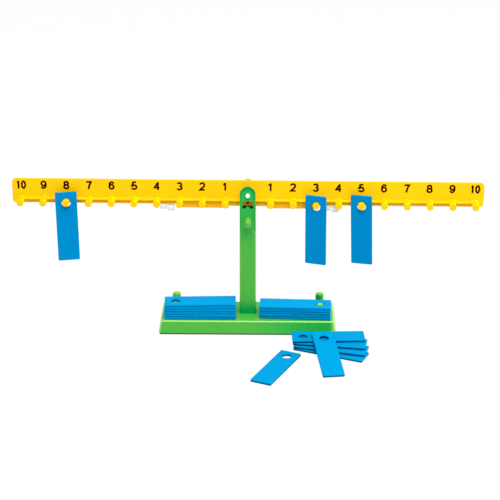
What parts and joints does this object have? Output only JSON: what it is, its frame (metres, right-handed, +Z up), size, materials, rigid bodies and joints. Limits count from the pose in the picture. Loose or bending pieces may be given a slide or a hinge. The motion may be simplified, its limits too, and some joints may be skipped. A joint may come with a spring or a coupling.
{
  "type": "math balance",
  "caption": "Number balance: a pegged beam swings in a forked post on a ribbed base with storage pegs; holed weight tiles hang from the beam, fill the base's pegs and lie beside it.",
  "frame": {"origin": "centre of the base's underside, on the table", "axes": "+X along the beam to the right as seen from the numbered side, +Y to the back, +Z up"},
  "size_m": [0.6452, 0.2298, 0.2172],
  "materials": {
    "base_green": "moulded, semi-gloss",
    "post_green": "moulded, semi-gloss",
    "pin_white": "moulded",
    "beam_yellow": "moulded, semi-gloss",
    "clip_clear": "clear, polished",
    "tile_blue": "moulded, semi-gloss"
  },
  "bodies": {
    "stand": {"base": "base_green", "post": "post_green", "pivot_pin": "pin_white"},
    "beam": {"beam": "beam_yellow", "peg_left_1": "beam_yellow", "peg_left_2": "beam_yellow", "peg_left_3": "beam_yellow", "peg_left_4": "beam_yellow", "peg_left_5": "beam_yellow", "peg_left_6": "beam_yellow", "peg_left_7": "beam_yellow", "peg_left_8": "beam_yellow", "peg_left_9": "beam_yellow", "peg_left_10": "beam_yellow", "peg_right_1": "beam_yellow", "peg_right_2": "beam_yellow", "peg_right_3": "beam_yellow", "peg_right_4": "beam_yellow", "peg_right_5": "beam_yellow", "peg_right_6": "beam_yellow", "peg_right_7": "beam_yellow", "peg_right_8": "beam_yellow", "peg_right_9": "beam_yellow", "peg_right_10": "beam_yellow"},
    "clip_left": {"clip_left": "clip_clear"},
    "clip_right": {"clip_right": "clip_clear"},
    "stack_left_1": {"stack_left_1": "tile_blue"},
    "stack_left_2": {"stack_left_2": "tile_blue"},
    "stack_left_3": {"stack_left_3": "tile_blue"},
    "stack_left_4": {"stack_left_4": "tile_blue"},
    "stack_left_5": {"stack_left_5": "tile_blue"},
    "stack_left_6": {"stack_left_6": "tile_blue"},
    "stack_right_1": {"stack_right_1": "tile_blue"},
    "stack_right_2": {"stack_right_2": "tile_blue"},
    "stack_right_3": {"stack_right_3": "tile_blue"},
    "stack_right_4": {"stack_right_4": "tile_blue"},
    "stack_right_5": {"stack_right_5": "tile_blue"},
    "pile_tile_1": {"pile_tile_1": "tile_blue"},
    "pile_tile_2": {"pile_tile_2": "tile_blue"},
    "pile_tile_3": {"pile_tile_3": "tile_blue"},
    "pile_tile_4": {"pile_tile_4": "tile_blue"},
    "hung_tile_left_8": {"hung_tile_left_8": "tile_blue"},
    "hung_tile_right_3": {"hung_tile_right_3": "tile_blue"},
    "hung_tile_right_5": {"hung_tile_right_5": "tile_blue"},
    "leaning_tile": {"leaning_tile": "tile_blue"},
    "loose_tile": {"loose_tile": "tile_blue"}
  },
  "joints": [
    {"name": "beam_swing", "type": "hinge", "parent": "stand", "child": "beam", "pos_m": [0, 0, 0.198], "axis": [0, 1, 0], "range_deg": [-10.5, 10.5]},
    {"name": "clip_left_slide", "type": "slide", "parent": "beam", "child": "clip_left", "axis": [-1, 0, 0.0061], "range_m": [-0.005, 0.04]},
    {"name": "clip_right_slide", "type": "slide", "parent": "beam", "child": "clip_right", "axis": [1, 0, -0.0061], "range_m": [-0.008, 0.04]},
    {"name": "hung_tile_left_8_swing", "type": "hinge", "parent": "beam", "child": "hung_tile_left_8", "pos_m": [-0.24807, -0.01158, 0.18751], "axis": [0, 1, 0], "range_deg": [-10, 10]},
    {"name": "hung_tile_right_3_swing", "type": "hinge", "parent": "beam", "child": "hung_tile_right_3", "pos_m": [0.09292, -0.01658, 0.18543], "axis": [0, 1, 0], "range_deg": [-10, 10]},
    {"name": "hung_tile_right_5_swing", "type": "hinge", "parent": "beam", "child": "hung_tile_right_5", "pos_m": [0.15492, -0.01306, 0.18505], "axis": [0, 1, 0], "range_deg": [-10, 10]},
    {"name": "stack_left_1_lift", "type": "slide", "parent": "stand", "child": "stack_left_1", "axis": [0, 0, 1], "range_m": [0, 0.006]},
    {"name": "stack_left_2_lift", "type": "slide", "parent": "stack_left_1", "child": "stack_left_2", "axis": [0, 0, 1], "range_m": [0, 0.006]},
    {"name": "stack_left_3_lift", "type": "slide", "parent": "stack_left_2", "child": "stack_left_3", "axis": [0, 0, 1], "range_m": [0, 0.006]},
    {"name": "stack_left_4_lift", "type": "slide", "parent": "stack_left_3", "child": "stack_left_4", "axis": [0, 0, 1], "range_m": [0, 0.006]},
    {"name": "stack_left_5_lift", "type": "slide", "parent": "stack_left_4", "child": "stack_left_5", "axis": [0, 0, 1], "range_m": [0, 0.006]},
    {"name": "stack_left_6_lift", "type": "slide", "parent": "stack_left_5", "child": "stack_left_6", "axis": [0, 0, 1], "range_m": [0, 0.006]},
    {"name": "stack_right_1_lift", "type": "slide", "parent": "stand", "child": "stack_right_1", "axis": [0, 0, 1], "range_m": [0, 0.006]},
    {"name": "stack_right_2_lift", "type": "slide", "parent": "stack_right_1", "child": "stack_right_2", "axis": [0, 0, 1], "range_m": [0, 0.006]},
    {"name": "stack_right_3_lift", "type": "slide", "parent": "stack_right_2", "child": "stack_right_3", "axis": [0, 0, 1], "range_m": [0, 0.006]},
    {"name": "stack_right_4_lift", "type": "slide", "parent": "stack_right_3", "child": "stack_right_4", "axis": [0, 0, 1], "range_m": [0, 0.006]},
    {"name": "stack_right_5_lift", "type": "slide", "parent": "stack_right_4", "child": "stack_right_5", "axis": [0, 0, 1], "range_m": [0, 0.006]},
    {"name": "pile_tile_1_lift", "type": "slide", "parent": "stand", "child": "pile_tile_1", "axis": [0, 0, 1], "range_m": [0, 0.02]},
    {"name": "pile_tile_2_lift", "type": "slide", "parent": "pile_tile_1", "child": "pile_tile_2", "axis": [0, 0, 1], "range_m": [0, 0.02]},
    {"name": "pile_tile_3_lift", "type": "slide", "parent": "pile_tile_2", "child": "pile_tile_3", "axis": [0, 0, 1], "range_m": [0, 0.02]},
    {"name": "pile_tile_4_lift", "type": "slide", "parent": "pile_tile_3", "child": "pile_tile_4", "axis": [0, 0, 1], "range_m": [0, 0.02]},
    {"name": "leaning_tile_lift", "type": "slide", "parent": "pile_tile_4", "child": "leaning_tile", "axis": [0, 0, 1], "range_m": [0, 0.02]},
    {"name": "loose_tile_lift", "type": "slide", "parent": "stand", "child": "loose_tile", "axis": [0, 0, 1], "range_m": [0, 0.03]}
  ]
}
